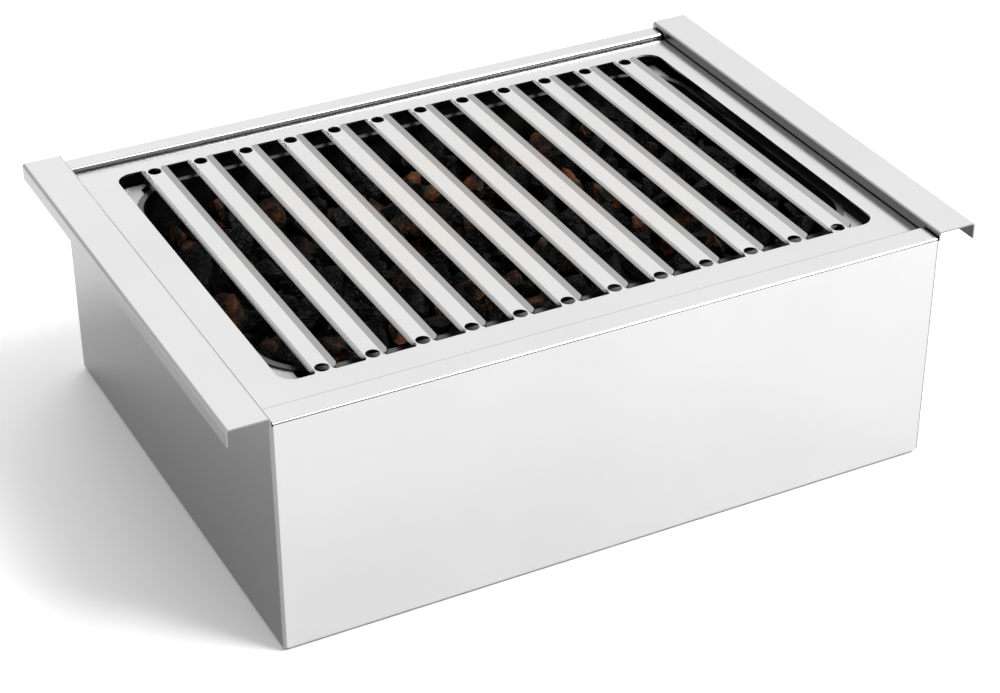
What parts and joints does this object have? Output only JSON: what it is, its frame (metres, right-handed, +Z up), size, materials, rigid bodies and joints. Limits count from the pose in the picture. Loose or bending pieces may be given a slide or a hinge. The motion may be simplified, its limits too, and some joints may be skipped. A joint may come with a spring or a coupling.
{
  "type": "charcoal charbroiler grill",
  "caption": "Tabletop charcoal charbroiler: folded stainless steel box with side grips, lift-out grill plate of trough bars, and a charcoal pan inside.",
  "frame": {"origin": "centre of the footprint, on the surface that the foot pads rest on", "axes": "+X to the right along the width, +Y to the rear, +Z up"},
  "size_m": [0.6, 0.42, 0.1967],
  "materials": {
    "case_steel": "fine satin stainless sheet",
    "plate_steel": "satin stainless sheet, slightly heat tinted over the fire",
    "inner_steel": "plain stainless sheet",
    "black_enamel": "black heat-proof enamel, sooty",
    "grate_iron": "scaled dark steel",
    "pad_silicone": "matte silicone",
    "fastener_steel": "plain bright steel",
    "charcoal": "charred wood, matte with glossy breaks",
    "ember": "burning charcoal with ash"
  },
  "bodies": {
    "case": {"front_panel": "case_steel", "rear_panel": "case_steel", "left_panel": "case_steel", "right_panel": "case_steel", "base_plate": "inner_steel", "foot_front_left": "pad_silicone", "foot_front_right": "pad_silicone", "foot_rear_left": "pad_silicone", "foot_rear_right": "pad_silicone", "foot_rivets": "fastener_steel", "base_rivets": "fastener_steel", "plate_ledge_front": "inner_steel", "plate_ledge_rear": "inner_steel", "plate_ledge_left": "inner_steel", "plate_ledge_right": "inner_steel", "liner_front": "black_enamel", "liner_rear": "black_enamel", "liner_left": "black_enamel", "liner_right": "black_enamel", "floor_shield": "inner_steel", "post_front_left": "inner_steel", "post_front_right": "inner_steel", "post_rear_left": "inner_steel", "post_rear_right": "inner_steel", "post_screws": "fastener_steel"},
    "pan": {"charcoal_pan": "black_enamel", "grease_channel_front": "black_enamel", "grease_channel_rear": "black_enamel"},
    "grate": {"charcoal_grate": "grate_iron", "charcoal": "charcoal", "embers": "ember"},
    "plate": {"grill_plate": "plate_steel"}
  },
  "joints": [
    {"name": "pan_lift", "type": "slide", "parent": "case", "child": "pan", "axis": [0, 0, 1], "range_m": [0, 0.2]},
    {"name": "grate_lift", "type": "slide", "parent": "pan", "child": "grate", "axis": [0, 0, 1], "range_m": [0, 0.12]},
    {"name": "plate_lift", "type": "slide", "parent": "grate", "child": "plate", "axis": [0, 0, 1], "range_m": [0, 0.15]}
  ]
}
